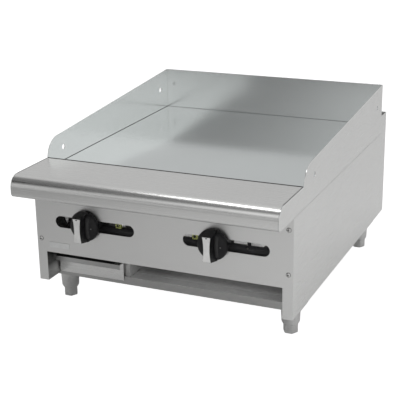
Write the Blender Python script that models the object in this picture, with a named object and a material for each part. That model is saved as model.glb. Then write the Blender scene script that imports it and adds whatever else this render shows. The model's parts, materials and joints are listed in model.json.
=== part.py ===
"""Countertop gas griddle, 24 in wide, with two manual burners, a splash on three sides and a grease tray.

Millimetres below are turned into metres by the helpers. x counts to the right from the middle, z up from
the surface it stands on, and y back from the front panel's face. The object's own origin is at the middle
of its footprint, on the surface.
"""

import math

import bmesh
import bpy
from mathutils import Matrix, Vector

MM = 0.001
GAP = 0.3
SIDES = ("left", "right")

# Outer size
WIDTH = 610.0
DEPTH = 840.0
NOSE_REACH = 91.0
REAR = DEPTH - NOSE_REACH
PANEL_ORIGIN = NOSE_REACH - DEPTH / 2
HALF = WIDTH / 2

# Heights of the body
BODY_BOTTOM = 65.2
RAIL_BOTTOM = 61.2
SHELF_BOTTOM = 290.0
SHELF_TOP = 338.0
BODY_TOP = SHELF_BOTTOM - 2 * GAP
FLUE_TOP = 336.0
SPLASH_TOP = 418.5

# Sheet metal
SHEET = 1.5
THIN_SHEET = 1.2
INSIDE = HALF - SHEET - GAP

# Front shelf, splash and griddle plate
SHELF_REAR = 62.0
NOSE_RADIUS = 27.0
NOSE_LOWER_RADIUS = 10.0
SPLASH_Y = 697.0
CHEEK_CORNER = (110.0, 331.0)
CHEEK_RADIUS = 48.4
CHEEK_HOLES = ((132.0, 345.0), (653.0, 368.0))
CHEEK_HOLE_RADIUS = 6.0
PLATE_TOP = 313.5
PLATE_THICKNESS = 25.0
PLATE_FRONT = 125.0

# Grease trough and the chute below it
TROUGH_Y = (SHELF_REAR + 1.0, PLATE_FRONT - 1.0)
TROUGH_FLOOR = 268.0
CHUTE_X = (-152.0, -118.0)
CHUTE_Y = (78.0, 114.0)

# Front: rail, openings and screws
RAIL_FACE = 50.0
RAIL_TOP = 79.6
RAIL_FLANGE = 30.0
OPENING_TOP = 135.6
OPENING_HALF = 282.0
SLOT_X = 156.0
SLOT_Z = 212.0
SLOT_LENGTH = 196.0
SLOT_HEIGHT = 27.0
SCREW_X = 294.5
SCREW_Z = {"upper": 264.0, "lower": 166.0}
SCREW_HOLE_RADIUS = 2.3

# Feet
FOOT_X = 274.0
FOOT_Y = (80.0, 629.0)
STUD_RADIUS = 5.0
STUD_CLEARANCE = 0.6

# Floor and the partitions that stand above the tray
FLOOR_TOP = RAIL_TOP
BAFFLE_Y = 140.0
SUPPORT_Y = 500.0
PARTITION_BOTTOM = 122.0
PARTITION_TOP = 262.0
PIPE_NOTCH = (250.0, 204.0)

# Grease tray
TRAY_X = (-278.5, -113.0)
TRAY_FACE = 47.0
TRAY_REAR = 560.0
GUIDE_X = (TRAY_X[0] - 0.5, TRAY_X[1] + 12.0)
GUIDE_Y = (52.0, 590.0)

# Knobs
BURNER_SPACING = 306.0
KNOB_X = (-176.0, -176.0 + BURNER_SPACING)
KNOB_Z = 212.5
KNOB_REAR = -4.0
KNOB_FRONT = -40.0
SKIRT_RADIUS = 34.8
STEM_RADIUS = 4.0
STEM_CLEARANCE = 0.35

# Gas train
MANIFOLD_Y = 56.0
MANIFOLD_Z = 182.0
MANIFOLD_LEFT = -236.0
PIPE_RADIUS = 13.4
PIPE_WALL = 2.9
PIPE_CLEARANCE = 2.0
FITTING_BASE = MANIFOLD_Z + PIPE_RADIUS + GAP
SUPPLY_X = 270.0
ELBOW_ARMS = (48.0, 20.0)
TAP_X = 187.5
VALVE_NECK_FRONT = 8.0
VALVE_Y = (34.0, 78.0)
BURNER_RADIUS = 16.0
BURNER_Z = 240.0
BURNER_PITCH = 90.0
BURNER_MOUTH = 102.0
BURNER_INLET_Z = KNOB_Z - 4.0
PILOT_X = (-121.5, 65.3)
PILOT_HALF_WIDTH = 6.5
PILOT_OUTLET = 3.0
PILOT_BURNER_X = (-95.0, 99.0)
PILOT_BURNER_Y = 168.0
PILOT_BURNER_RADIUS = 6.0
PILOT_TUBE_Z = MANIFOLD_Z + PIPE_RADIUS + 8.0
PILOT_TUBE_RADIUS = 3.0


# Materials

def finish(name, colour, roughness, metallic):
    material = bpy.data.materials.new(name)
    material.use_nodes = True
    shader = material.node_tree.nodes["Principled BSDF"]
    shader.inputs["Base Color"].default_value = (*colour, 1.0)
    shader.inputs["Roughness"].default_value = roughness
    shader.inputs["Metallic"].default_value = metallic
    return material


# Solids, in millimetres until they are placed

def mesh_object(builder):
    bmesh.ops.recalc_face_normals(builder, faces=builder.faces)
    mesh = bpy.data.meshes.new("shape")
    builder.to_mesh(mesh)
    builder.free()
    shape = bpy.data.objects.new("shape", mesh)
    bpy.context.scene.collection.objects.link(shape)
    return shape


def prism(outline, axis, start, end):
    """A solid with this outline, whose two coordinates are the other two axes in x, y, z order."""
    order = {"x": (2, 0, 1), "y": (0, 2, 1), "z": (0, 1, 2)}[axis]
    builder = bmesh.new()
    corners = [builder.verts.new([(a, b, start)[i] for i in order]) for a, b in outline]
    base = builder.faces.new(corners)
    swept = bmesh.ops.extrude_face_region(builder, geom=[base])["geom"]
    moved = [item for item in swept if isinstance(item, bmesh.types.BMVert)]
    shift = Vector([(0.0, 0.0, end - start)[i] for i in order])
    bmesh.ops.translate(builder, verts=moved, vec=shift)
    return mesh_object(builder)


def loft(front_outline, front, rear_outline, rear):
    """A solid between two outlines with as many points, seen along y."""
    builder = bmesh.new()
    ends = [[builder.verts.new((a, y, b)) for a, b in outline]
            for outline, y in ((front_outline, front), (rear_outline, rear))]
    for first, second in zip(range(-1, len(front_outline) - 1), range(len(front_outline))):
        builder.faces.new((ends[0][first], ends[0][second], ends[1][second], ends[1][first]))
    for end in ends:
        builder.faces.new(end)
    return mesh_object(builder)


def box(low, high):
    outline = [(low[0], low[1]), (high[0], low[1]), (high[0], high[1]), (low[0], high[1])]
    return prism(outline, "z", low[2], high[2])


def arc(centre, radius, start, end, steps):
    """Points on an arc, both ends included, with the angles in degrees."""
    angles = [math.radians(start + (end - start) * i / steps) for i in range(steps + 1)]
    return [(centre[0] + radius * math.cos(a), centre[1] + radius * math.sin(a)) for a in angles]


def strip(points, thickness):
    """The outline of a bent sheet: one side through the points, the other to the left of it."""
    path = [Vector(p) for p in points]
    runs = [(b - a).normalized() for a, b in zip(path, path[1:])]
    lefts = [Vector((-run.y, run.x)) for run in runs]
    other = []
    for i, corner in enumerate(path):
        before = lefts[max(i - 1, 0)]
        after = lefts[min(i, len(lefts) - 1)]
        mitre = (before + after) / (1.0 + before.dot(after))
        other.append(corner + mitre * thickness)
    return [tuple(p) for p in path] + [tuple(p) for p in reversed(other)]


def turned(profile, centre, axis, sides, closed=False):
    """A solid of revolution: the profile is (radius, distance along the axis). It starts and ends on the
    axis, or is a closed ring of points."""
    turn = Vector(axis).to_track_quat("Z", "Y").to_matrix()
    builder = bmesh.new()
    rings = []
    for radius, along in profile:
        count = sides if radius > 0.0 else 1
        angles = [2.0 * math.pi * i / sides for i in range(count)]
        places = [Vector((radius * math.cos(a), radius * math.sin(a), along)) for a in angles]
        rings.append([builder.verts.new(turn @ p + Vector(centre)) for p in places])
    pairs = list(zip(rings, rings[1:] + rings[:1]))
    for first, second in pairs if closed else pairs[:-1]:
        for i in range(sides):
            j = (i + 1) % sides
            loop = [first[i % len(first)], first[j % len(first)]]
            loop += [second[j % len(second)], second[i % len(second)]]
            builder.faces.new(dict.fromkeys(loop))
    return mesh_object(builder)


def cylinder(centre, axis, radius, length, sides=24):
    """A round bar that starts at the centre and runs along the axis."""
    return turned([(0.0, 0.0), (radius, 0.0), (radius, length), (0.0, length)], centre, axis, sides)


def rounded_path(corners, radius, steps):
    """A line through the corners, each one turned into an arc that is tangent to both of its runs."""
    path = [Vector(corners[0])]
    for before, corner, after in zip(corners, corners[1:], corners[2:]):
        incoming = (Vector(corner) - Vector(before)).normalized()
        outgoing = (Vector(after) - Vector(corner)).normalized()
        half_turn = incoming.angle(outgoing) / 2.0
        inward = (outgoing - incoming).normalized()
        centre = Vector(corner) + inward * radius / math.cos(half_turn)
        turning_axis = incoming.cross(outgoing).normalized()
        first = Vector(corner) - incoming * radius * math.tan(half_turn) - centre
        for i in range(steps + 1):
            spin = Matrix.Rotation(2.0 * half_turn * i / steps, 3, turning_axis)
            path.append(centre + spin @ first)
    path.append(Vector(corners[-1]))
    return path


def pipe(path, radius, sides, wall=None, open_end=True):
    """A bar along the path. With a wall it is a pipe, open at the start, and at the end too if asked."""
    last = len(path) - 1
    tangents = [(path[min(i + 1, last)] - path[max(i - 1, 0)]).normalized() for i in range(len(path))]
    across = tangents[0].orthogonal().normalized()
    builder = bmesh.new()
    skins = [[] for _ in range(2 if wall else 1)]
    for place, tangent in zip(path, tangents):
        across = (across - tangent * across.dot(tangent)).normalized()
        upright = tangent.cross(across)
        angles = [2.0 * math.pi * i / sides for i in range(sides)]
        spokes = [across * math.cos(a) + upright * math.sin(a) for a in angles]
        for skin, reach in zip(skins, (radius, radius - (wall or 0.0))):
            stops_short = skin is not skins[0] and place is path[-1] and not open_end
            middle = place - tangent * wall if stops_short else place
            skin.append([builder.verts.new(middle + spoke * reach) for spoke in spokes])
    for skin in skins:
        for first, second in zip(skin, skin[1:]):
            for i in range(sides):
                builder.faces.new((first[i], first[i - 1], second[i - 1], second[i]))
    if not wall:
        builder.faces.new(skins[0][0])
        builder.faces.new(skins[0][-1])
        return mesh_object(builder)
    outer, inner = skins
    ends = [(outer[0], inner[0])] + ([(outer[-1], inner[-1])] if open_end else [])
    for first, second in ends:
        for i in range(sides):
            builder.faces.new((first[i], first[i - 1], second[i - 1], second[i]))
    if not open_end:
        builder.faces.new(outer[-1])
        builder.faces.new(inner[-1])
    return mesh_object(builder)


def combine(base, add=(), cut=()):
    """Joins solids to the base and cuts solids from it, and leaves one plain mesh."""
    for operation, tools in (("UNION", add), ("DIFFERENCE", cut)):
        for tool in tools:
            modifier = base.modifiers.new(operation.title(), "BOOLEAN")
            modifier.operation = operation
            modifier.object = tool
    seen = base.evaluated_get(bpy.context.evaluated_depsgraph_get())
    mesh = bpy.data.meshes.new_from_object(seen)
    base.modifiers.clear()
    base.data = mesh
    for tool in (*add, *cut):
        bpy.data.objects.remove(tool, do_unlink=True)
    return base


def node(name, shape, material, origin=(0.0, -PANEL_ORIGIN, 0.0)):
    """Names a shape, turns it into metres, and gives it its origin and its material."""
    sharp_angle = 30.0
    mesh = shape.data
    mesh.transform(Matrix.Scale(MM, 4) @ Matrix.Translation(-Vector(origin)))
    mesh.materials.clear()
    mesh.materials.append(material)
    mesh.shade_smooth()
    mesh.set_sharp_from_angle(angle=math.radians(sharp_angle))
    mesh.name = name
    shape.name = name
    shape.location = (Vector(origin) + Vector((0.0, PANEL_ORIGIN, 0.0))) * MM
    return shape


def drill(centre, axis, radius, depth=12.0, sides=12):
    """A cutter that starts half its depth before the centre."""
    start = Vector(centre) - Vector(axis) * depth / 2
    return cylinder(start, axis, radius, depth, sides)


def between(first, second):
    """Two numbers in rising order."""
    return min(first, second), max(first, second)


# Cabinet

def side_panel(sign, steel):
    """Outer sheet with a flange behind the front panel, and a tall rear corner beside the flue."""
    front = SHEET + GAP
    rear = REAR - SHEET - GAP
    flue_front = SPLASH_Y + GAP + SHEET + GAP
    flange_reach = 21.0
    outer = sign * HALF
    outline = [(front, BODY_BOTTOM), (rear, BODY_BOTTOM), (rear, FLUE_TOP), (flue_front, FLUE_TOP),
               (flue_front, BODY_TOP), (front, BODY_TOP)]
    plate = prism(outline, "x", *between(outer, outer - sign * THIN_SHEET))
    low, high = between(outer - sign * THIN_SHEET / 2, outer - sign * flange_reach)
    flange = box((low, front, BODY_BOTTOM), (high, front + THIN_SHEET, BODY_TOP))
    holes = [drill((sign * SCREW_X, front, z), (0, 1, 0), SCREW_HOLE_RADIUS) for z in SCREW_Z.values()]
    return node(f"{SIDES[sign > 0]}_side_panel", combine(plate, [flange], holes), steel)


def slot(x):
    """A cutter for one round-ended slot in the front panel."""
    radius = SLOT_HEIGHT / 2
    offset = SLOT_LENGTH / 2 - radius
    reach = 10.0
    right_end = arc((x + offset, SLOT_Z), radius, -90.0, 90.0, 12)
    left_end = arc((x - offset, SLOT_Z), radius, 90.0, 270.0, 12)
    return prism(right_end + left_end, "y", -reach, reach)


def front_panel(steel):
    """An upside-down U: two slots above, and returns along the edges of the lower opening."""
    leg_return = RAIL_FACE - 0.5
    header_return = 15.0
    outline = [(-HALF, BODY_BOTTOM), (-OPENING_HALF, BODY_BOTTOM), (-OPENING_HALF, OPENING_TOP),
               (OPENING_HALF, OPENING_TOP), (OPENING_HALF, BODY_BOTTOM), (HALF, BODY_BOTTOM),
               (HALF, BODY_TOP), (-HALF, BODY_TOP)]
    face = prism(outline, "y", 0.0, SHEET)
    returns = [box((-OPENING_HALF - SHEET / 2, SHEET / 2, OPENING_TOP),
                   (OPENING_HALF + SHEET / 2, header_return, OPENING_TOP + SHEET))]
    for sign in (-1, 1):
        low, high = between(sign * OPENING_HALF, sign * (OPENING_HALF + SHEET))
        returns.append(box((low, SHEET / 2, BODY_BOTTOM), (high, leg_return, OPENING_TOP + SHEET / 2)))
    cutters = [slot(sign * SLOT_X) for sign in (-1, 1)]
    cutters += [drill((sign * SCREW_X, 0, z), (0, 1, 0), SCREW_HOLE_RADIUS, 8.0)
                for sign in (-1, 1) for z in SCREW_Z.values()]
    return node("front_panel", combine(face, returns, cutters), steel)


def back_panel(steel):
    plate = box((-HALF, REAR - SHEET, BODY_BOTTOM), (HALF, REAR, FLUE_TOP))
    inlet = drill((SUPPLY_X, REAR, MANIFOLD_Z), (0, 1, 0), PIPE_RADIUS + PIPE_CLEARANCE, sides=24)
    return node("back_panel", combine(plate, cut=[inlet]), steel)


def foot_holes(y):
    radius = STUD_RADIUS + STUD_CLEARANCE
    return [drill((sign * FOOT_X, y, RAIL_BOTTOM), (0, 0, 1), radius) for sign in (-1, 1)]


def front_rail(steel):
    """A channel across the front: top flange, face, and a bottom flange that the legs bolt to."""
    bottom_flange_rear = 110.0
    section = strip([(RAIL_FACE + RAIL_FLANGE, RAIL_TOP), (RAIL_FACE, RAIL_TOP), (RAIL_FACE, RAIL_BOTTOM),
                     (bottom_flange_rear, RAIL_BOTTOM)], SHEET)
    channel = prism(section, "x", -INSIDE, INSIDE)
    return node("front_rail", combine(channel, cut=foot_holes(FOOT_Y[0])), steel)


def rear_rail(steel):
    """An angle across the rear that the legs bolt to."""
    half_depth = 30.0
    lip_top = RAIL_TOP + 10.0
    y = FOOT_Y[1]
    corners = [(y - half_depth, RAIL_BOTTOM), (y + half_depth, RAIL_BOTTOM), (y + half_depth, lip_top)]
    channel = prism(strip(corners, SHEET), "x", -INSIDE, INSIDE)
    return node("rear_rail", combine(channel, cut=foot_holes(y)), steel)


def floor_pan(steel):
    front = RAIL_FACE + RAIL_FLANGE + 1.0
    rear = FOOT_Y[1] + 26.0
    half_width = FOOT_X - 12.0
    plate = box((-half_width, front, FLOOR_TOP - THIN_SHEET), (half_width, rear, FLOOR_TOP))
    return node("floor_pan", plate, steel)


def tray_guide(side, x, outward, steel):
    """An angle that carries one edge of the tray, on a web that stands on the floor pan and the front rail."""
    shelf_top = 81.7
    shelf_reach = 28.0
    web_top = 120.0
    low, high = between(x, x + outward * SHEET)
    web = box((low, GUIDE_Y[0], FLOOR_TOP + GAP), (high, GUIDE_Y[1], web_top))
    low, high = between(x + outward * SHEET / 2, x - outward * shelf_reach)
    shelf = box((low, GUIDE_Y[0], shelf_top - SHEET), (high, GUIDE_Y[1], shelf_top))
    return node(f"tray_guide_{side}", combine(web, [shelf]), steel)


def partition(name, y, holes, steel):
    """A plate across the cabinet with a notch for the supply pipe. A hole is (x, z, radius)."""
    half_width = INSIDE - THIN_SHEET
    hole_clearance = 0.6
    outline = [(-half_width, PARTITION_BOTTOM), (PIPE_NOTCH[0], PARTITION_BOTTOM), PIPE_NOTCH,
               (half_width, PIPE_NOTCH[1]), (half_width, PARTITION_TOP), (-half_width, PARTITION_TOP)]
    plate = prism(outline, "y", y, y + THIN_SHEET)
    cutters = [drill((x, y, z), (0, 1, 0), radius + hole_clearance, sides=20) for x, z, radius in holes]
    return node(name, combine(plate, cut=cutters), steel)


def front_baffle(steel):
    """Shields the gas train from the burners, which pass through it."""
    holes = [(x, BURNER_INLET_Z, BURNER_RADIUS) for x in KNOB_X]
    holes += [(x, PILOT_TUBE_Z, PILOT_TUBE_RADIUS + 1.0) for x in PILOT_BURNER_X]
    return partition("front_baffle", BAFFLE_Y, holes, steel)


def burner_support(steel):
    """Carries both arms of each burner near their rear end."""
    holes = [(x + shift, BURNER_Z, BURNER_RADIUS) for x in KNOB_X for shift in (0.0, BURNER_PITCH)]
    return partition("burner_support", SUPPORT_Y, holes, steel)


def plate_ledge(sign, steel):
    """An angle along the side that the griddle plate lies on."""
    drop = 36.0
    reach = 25.0
    top = PLATE_TOP - PLATE_THICKNESS - GAP
    wall = sign * (HALF - THIN_SHEET - GAP)
    inner = wall - sign * SHEET
    tip = wall - sign * reach
    section = [(wall, top), (wall, top - drop), (inner, top - drop), (inner, top - SHEET), (tip, top - SHEET),
               (tip, top)]
    angle = prism(section, "y", PLATE_FRONT + 2.0, SPLASH_Y - 2.0)
    return node(f"plate_ledge_{SIDES[sign > 0]}", angle, steel)


# Top

def bullnose():
    """The shelf's outer line, seen from the side: from its rear edge over the nose to its underside."""
    top_centre = (NOSE_RADIUS - NOSE_REACH, SHELF_TOP - NOSE_RADIUS)
    bottom_centre = (NOSE_LOWER_RADIUS - NOSE_REACH, SHELF_BOTTOM + NOSE_LOWER_RADIUS)
    top = arc(top_centre, NOSE_RADIUS, 90.0, 180.0, 10)
    bottom = arc(bottom_centre, NOSE_LOWER_RADIUS, 180.0, 270.0, 6)
    return [(SHELF_REAR, SHELF_TOP)] + top + bottom


def griddle_plate(steel):
    half_width = HALF - SHEET - 0.5
    rear = SPLASH_Y - 1.0
    plate = box((-half_width, PLATE_FRONT, PLATE_TOP - PLATE_THICKNESS), (half_width, rear, PLATE_TOP))
    return node("griddle_plate", plate, steel)


def side_splash(sign, steel):
    """The cheek: splash and end cap of the shelf, cut from one sheet."""
    rear_to_front = arc(CHEEK_CORNER, CHEEK_RADIUS, 86.0, 171.7, 8)
    outline = [(SPLASH_Y, SHELF_BOTTOM), (SPLASH_Y, SPLASH_TOP)] + rear_to_front + bullnose()[1:]
    sheet = prism(outline, "x", *between(sign * HALF, sign * (HALF - SHEET)))
    holes = [drill((sign * HALF, y, z), (1, 0, 0), CHEEK_HOLE_RADIUS) for y, z in CHEEK_HOLES]
    return node(f"{SIDES[sign > 0]}_side_splash", combine(sheet, cut=holes), steel)


def rear_splash(steel):
    front = SPLASH_Y + GAP
    sheet = box((-HALF, front, SHELF_BOTTOM), (HALF, front + SHEET, SPLASH_TOP))
    return node("rear_splash", sheet, steel)


def front_shelf(steel):
    """A rounded nose with a hem down into the trough and a lip back over the front panel."""
    rear_hem = 12.0
    lip_rear = 20.0
    outer = [(SHELF_REAR, SHELF_TOP - rear_hem)] + bullnose() + [(lip_rear, SHELF_BOTTOM)]
    return node("front_shelf", prism(strip(outer, SHEET), "x", -INSIDE, INSIDE), steel)


def grease_trough(steel):
    """A gutter between shelf and plate, with a drop hole over the chute."""
    wall = THIN_SHEET
    half_width = HALF - SHEET - 1.0
    past = 5.0
    low = (-half_width, TROUGH_Y[0], TROUGH_FLOOR)
    high = (half_width, TROUGH_Y[1], PLATE_TOP - SHEET)
    inside = box([a + wall for a in low], (high[0] - wall, high[1] - wall, high[2] + past))
    drop = box((CHUTE_X[0] + wall, CHUTE_Y[0] + wall, low[2] - past),
               (CHUTE_X[1] - wall, CHUTE_Y[1] - wall, low[2] + past))
    return node("grease_trough", combine(box(low, high), cut=[inside, drop]), steel)


def grease_chute(steel):
    wall = THIN_SHEET
    past = 5.0
    low = (CHUTE_X[0], CHUTE_Y[0], PARTITION_BOTTOM)
    high = (CHUTE_X[1], CHUTE_Y[1], TROUGH_FLOOR - GAP)
    inside = box((low[0] + wall, low[1] + wall, low[2] - past),
                 (high[0] - wall, high[1] - wall, high[2] + past))
    return node("grease_chute", combine(box(low, high), cut=[inside]), steel)


def grease_tray(steel):
    """A drawer with a tall face, whose top edge is folded out and down as a pull."""
    left, right = TRAY_X
    wall = THIN_SHEET
    side_inset = 2.0
    floor_z = 82.0
    rim_z = 112.0
    face_bottom = 70.5
    face_top = 116.0
    pull_front = TRAY_FACE - 20.0
    pull_lean = 3.0
    pull_bottom = face_top - 12.5
    face_rear = TRAY_FACE + SHEET
    face = strip([(pull_front + pull_lean, pull_bottom), (pull_front, face_top), (face_rear, face_top),
                  (face_rear, face_bottom)], -SHEET)
    front = prism(face, "x", left, right)
    low = (left + side_inset, TRAY_FACE + SHEET / 2, floor_z)
    high = (right - side_inset, TRAY_REAR, rim_z)
    inside = box((low[0] + wall, face_rear, low[2] + wall), (high[0] - wall, high[1] - wall, high[2] + wall))
    pan = combine(box(low, high), cut=[inside])
    return node("grease_tray", combine(front, [pan]), steel)


# Legs and feet

def leg(name, x, y, steel):
    """A cast sleeve with a stud on top, and a bore below for the levelling foot."""
    stud_top = 76.0
    top = RAIL_BOTTOM - GAP
    shoulder = 26.0
    bottom = 20.5
    bore_radius = 12.4
    bore_top = 56.0
    profile = [(0.0, stud_top), (STUD_RADIUS, stud_top), (STUD_RADIUS, top), (21.5, top), (20.0, shoulder),
               (17.0, bottom), (bore_radius, bottom), (bore_radius, bore_top), (0.0, bore_top)]
    return node(f"leg_{name}", turned(profile, (x, y, 0.0), (0, 0, 1), 20), steel)


def levelling_foot(name, x, y, steel):
    """A hexagonal foot with a round stem. It turns in the leg."""
    top = 20.2
    corner = 16.8
    chamfer = 1.5
    sole = [(0.0, 0.0), (corner - 1.2, 0.0), (corner, chamfer), (corner, top), (0.0, top)]
    hexagon = turned(sole, (x, y, 0.0), (0, 0, 1), 6)
    stem = cylinder((x, y, top - 3.7), (0, 0, 1), 12.0, 32.0, 16)
    return node(f"foot_{name}", combine(hexagon, [stem]), steel, origin=(x, y, 0.0))


# Gas train

def manifold(black_iron):
    right = SUPPLY_X - ELBOW_ARMS[0] - GAP
    path = [Vector((x, MANIFOLD_Y, MANIFOLD_Z)) for x in (right, MANIFOLD_LEFT)]
    return node("manifold_pipe", pipe(path, PIPE_RADIUS, 20, PIPE_WALL, open_end=False), black_iron)


def supply(black_iron):
    """The inlet pipe from the back panel, and the elbow with a long arm that turns it into the manifold."""
    bend = 16.0
    elbow_radius = PIPE_RADIUS + 3.6
    elbow_wall = 6.3
    corner = (SUPPLY_X, MANIFOLD_Y, MANIFOLD_Z)
    start = (SUPPLY_X - ELBOW_ARMS[0], MANIFOLD_Y, MANIFOLD_Z)
    end = (SUPPLY_X, MANIFOLD_Y + ELBOW_ARMS[1], MANIFOLD_Z)
    path = rounded_path([start, corner, end], bend, 6)
    node("supply_elbow", pipe(path, elbow_radius, 16, elbow_wall), black_iron)
    run = [Vector((SUPPLY_X, y, MANIFOLD_Z)) for y in (MANIFOLD_Y + ELBOW_ARMS[1] + GAP, REAR)]
    node("supply_pipe", pipe(run, PIPE_RADIUS, 24, PIPE_WALL), black_iron)


def manifold_tap(black_iron):
    """The pressure tap: a small plugged nipple on the manifold."""
    profile = [(0.0, 0.0), (4.5, 0.0), (4.5, 9.0), (3.0, 9.0), (3.0, 16.0), (0.0, 16.0)]
    return node("manifold_tap", turned(profile, (TAP_X, MANIFOLD_Y, FITTING_BASE), (0, 0, 1), 12), black_iron)


def valve_body(side, x, iron):
    """The block sits on the manifold. Its neck holds the stem, and its outlet faces the burner."""
    half_width = 13.0
    top = KNOB_Z + 12.5
    neck_radius = 8.0
    outlet_radius = 6.0
    overlap = 2.0
    front, rear = VALVE_Y
    body = box((x - half_width, front, FITTING_BASE), (x + half_width, rear, top))
    neck = cylinder((x, VALVE_NECK_FRONT, KNOB_Z), (0, 1, 0), neck_radius, front - VALVE_NECK_FRONT + overlap)
    outlet = cylinder((x, rear - overlap, BURNER_INLET_Z), (0, 1, 0), outlet_radius, 8.0)
    bore = drill((x, VALVE_NECK_FRONT + 10.0, KNOB_Z), (0, 1, 0), STEM_RADIUS + STEM_CLEARANCE, 32.0, 24)
    return node(f"valve_body_{side}", combine(body, [neck, outlet], [bore]), iron)


def valve_stem(side, x, steel):
    start = KNOB_FRONT + 9.0
    end = VALVE_NECK_FRONT + 24.0
    bar = cylinder((x, start, KNOB_Z), (0, 1, 0), STEM_RADIUS, end - start)
    return node(f"valve_stem_{side}", bar, steel, origin=(x, 0.0, KNOB_Z))


def orifice(side, x, brass):
    """A hexagonal gas jet between the valve and the burner's mouth."""
    base = VALVE_Y[1] + 6.3
    profile = [(0.0, base), (7.5, base), (7.5, base + 8.7), (5.0, base + 13.7), (0.0, base + 13.7)]
    hexagon = turned(profile, (x, 0.0, BURNER_INLET_Z), (0, 1, 0), 6)
    return node(f"orifice_{side}", hexagon, brass)


def air_shutter(side, x, steel):
    """A cap with windows that turns on the burner's mouth."""
    hole = 9.0
    inner = BURNER_RADIUS + 0.5
    outer = inner + THIN_SHEET
    front = BURNER_MOUTH - 2.0
    rear = front + 22.0
    window_ring = 12.6
    window_radius = 2.6
    profile = [(hole, front), (outer, front), (outer, rear), (inner, rear), (inner, front + THIN_SHEET),
               (hole, front + THIN_SHEET)]
    cap = turned(profile, (x, 0.0, BURNER_INLET_Z), (0, 1, 0), 24, closed=True)
    windows = [drill((x + a, front, BURNER_INLET_Z + b), (0, 1, 0), window_radius, 8.0)
               for a, b in arc((0.0, 0.0), window_ring, 90.0, 330.0, 2)]
    return node(f"air_shutter_{side}", combine(cap, cut=windows), steel, origin=(x, front, BURNER_INLET_Z))


def burner(side, x, steel):
    """A tube that rises from its mouth, runs to the rear and comes back beside itself."""
    front = 180.0
    rise_end = 250.0
    rear = 580.0
    corners = [(x, BURNER_MOUTH, BURNER_INLET_Z), (x, front, BURNER_INLET_Z), (x, rise_end, BURNER_Z),
               (x, rear, BURNER_Z), (x + BURNER_PITCH, rear, BURNER_Z), (x + BURNER_PITCH, front, BURNER_Z)]
    path = rounded_path(corners, BURNER_PITCH / 2 - 0.1, 4)
    return node(f"burner_{side}", pipe(path, BURNER_RADIUS, 12, THIN_SHEET, open_end=False), steel)


def pilot_valve(side, x, brass):
    """A small block on the manifold: the adjusting screw's seat is in front, the tube's outlet beside it."""
    front = MANIFOLD_Y - 9.0
    overlap = 1.0
    right = x + PILOT_HALF_WIDTH
    body = box((x - PILOT_HALF_WIDTH, front, FITTING_BASE), (right, MANIFOLD_Y + 9.0, PILOT_TUBE_Z + 7.0))
    outlet = cylinder((right - overlap, MANIFOLD_Y, PILOT_TUBE_Z), (1, 0, 0), 4.5, PILOT_OUTLET + overlap, 16)
    seat = drill((x, front, PILOT_TUBE_Z), (0, 1, 0), 3.4)
    return node(f"pilot_valve_{side}", combine(body, [outlet], [seat]), brass)


def pilot_screw(side, x, steel):
    radius = 3.0
    past = 1.0
    front = MANIFOLD_Y - 12.0
    screw = cylinder((x, front, PILOT_TUBE_Z), (0, 1, 0), radius, 8.0)
    slit = box((x - radius - past, front - past, PILOT_TUBE_Z - 0.5),
               (x + radius + past, front + 1.2, PILOT_TUBE_Z + 0.5))
    return node(f"pilot_screw_{side}", combine(screw, cut=[slit]), steel, origin=(x, front, PILOT_TUBE_Z))


def pilot_tube(side, start_x, end_x, aluminium):
    """Runs beside the manifold, then back through the baffle to the pilot burner."""
    start = (start_x + PILOT_HALF_WIDTH + PILOT_OUTLET + GAP, MANIFOLD_Y, PILOT_TUBE_Z)
    corner = (end_x, MANIFOLD_Y, PILOT_TUBE_Z)
    end = (end_x, PILOT_BURNER_Y - PILOT_BURNER_RADIUS - GAP, PILOT_TUBE_Z)
    bend = min(10.0, corner[0] - start[0] - 0.5)
    path = rounded_path([start, corner, end], bend, 5)
    return node(f"pilot_tube_{side}", pipe(path, PILOT_TUBE_RADIUS, 10), aluminium)


def pilot_burner(side, x, steel):
    stem = PILOT_BURNER_RADIUS
    head = stem + 2.0
    profile = [(0.0, -6.0), (stem, -6.0), (stem, 20.0), (head, 24.0), (head, 30.0), (0.0, 34.0)]
    centre = (x, PILOT_BURNER_Y, PILOT_TUBE_Z)
    return node(f"pilot_burner_{side}", turned(profile, centre, (0, 0, 1), 12), steel)


# Knobs

def grip_outline(x, inset=0.0, growth=0.0):
    """The grip seen from the front: an hourglass. It is smaller by the inset, and taller by the growth."""
    half_height = 27.8 - inset + growth
    end_width = 9.8 - inset + growth * 0.25
    waist = 7.4 - inset + growth * 0.25
    steps = 8
    rises = [2.0 * i / steps - 1.0 for i in range(steps + 1)]
    right = [(x + waist + (end_width - waist) * rise ** 2, KNOB_Z + half_height * rise) for rise in rises]
    left = [(2.0 * x - a, b) for a, b in reversed(right)]
    return right + left


def knob(side, x, plastic):
    """A domed skirt with an upright grip across it, which widens and grows taller towards the skirt."""
    rim = KNOB_REAR - 5.0
    rim_chamfer = 1.0
    dome_height = 13.0
    grip_growth = 6.5
    bore_depth = KNOB_REAR - KNOB_FRONT - 8.0
    dome = [(0.0, KNOB_REAR), (SKIRT_RADIUS - rim_chamfer, KNOB_REAR), (SKIRT_RADIUS, KNOB_REAR - rim_chamfer)]
    dome += [(SKIRT_RADIUS * a, rim - dome_height * b) for a, b in arc((0.0, 0.0), 1.0, 0.0, 72.0, 4)]
    dome.append((0.0, rim - dome_height))
    skirt = turned([(radius, -y) for radius, y in dome], (x, 0.0, KNOB_Z), (0, -1, 0), 32)
    grip = loft(grip_outline(x), KNOB_FRONT, grip_outline(x, growth=grip_growth), rim)
    bore = drill((x, KNOB_REAR, KNOB_Z), (0, 1, 0), STEM_RADIUS + STEM_CLEARANCE, 2.0 * bore_depth, 24)
    return node(f"knob_{side}", combine(skirt, [grip], [bore]), plastic, origin=(x, 0.0, KNOB_Z))


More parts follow.
